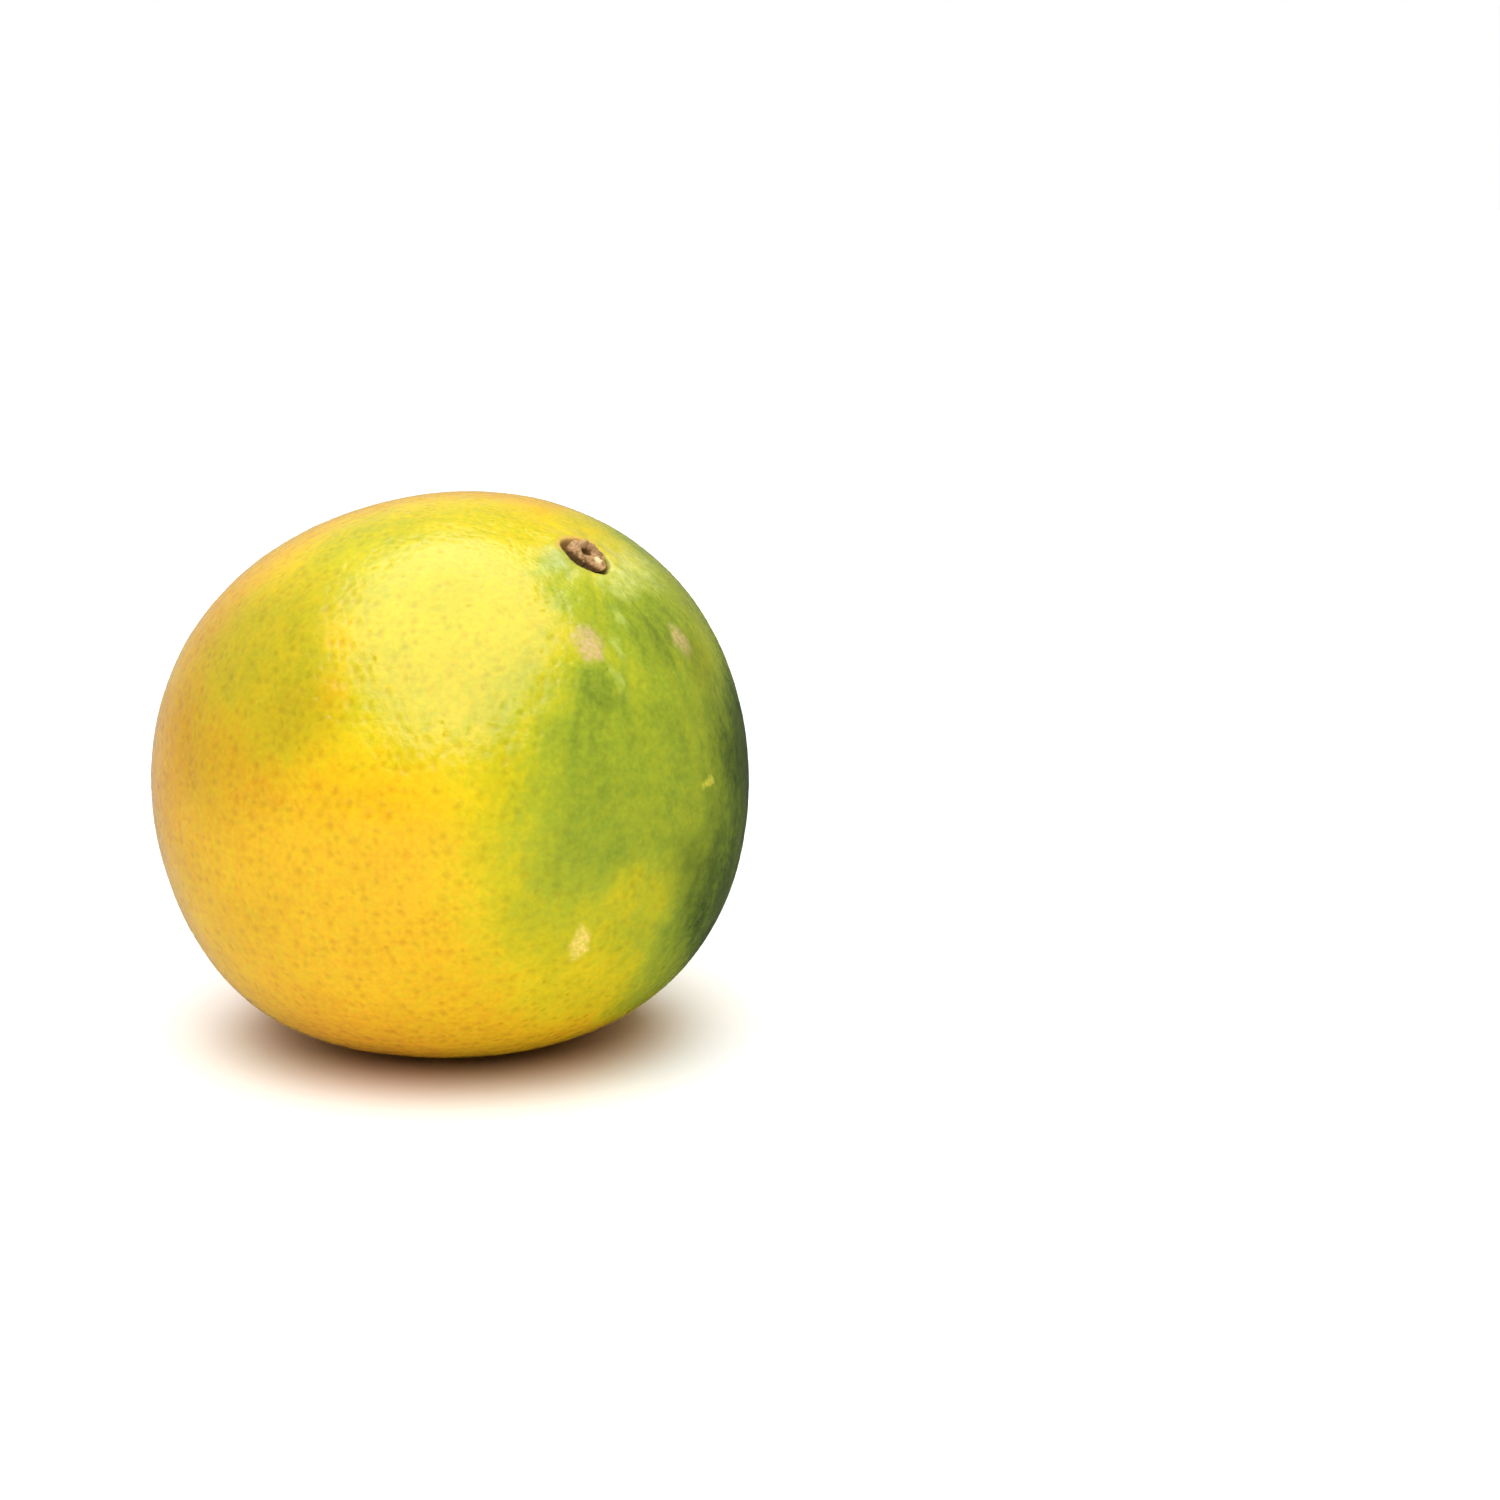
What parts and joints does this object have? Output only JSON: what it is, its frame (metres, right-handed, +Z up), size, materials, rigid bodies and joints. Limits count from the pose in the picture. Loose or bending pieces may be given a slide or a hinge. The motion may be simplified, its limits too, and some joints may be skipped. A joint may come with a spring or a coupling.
{
  "type": "orange",
  "caption": "Whole fresh orange turning from green to orange, with a pored peel, a dry stem button in its pit and a small flat spot to rest on.",
  "frame": {"origin": "centre of the fruit's outline seen from above, at the height of the flat spot that it rests on", "axes": "+Z up, -Y towards the viewer, +X to the viewer's right; the stem end leans to +X and -Y"},
  "size_m": [0.0756, 0.0758, 0.0702],
  "materials": {
    "peel": "waxy pored citrus peel, satin gloss, orange-yellow turning to green on one side",
    "stem_wood": "dry, matt, brown woody stem button"
  },
  "bodies": {
    "root": {"fruit": "peel", "stem_button": "stem_wood"}
  },
  "joints": []
}
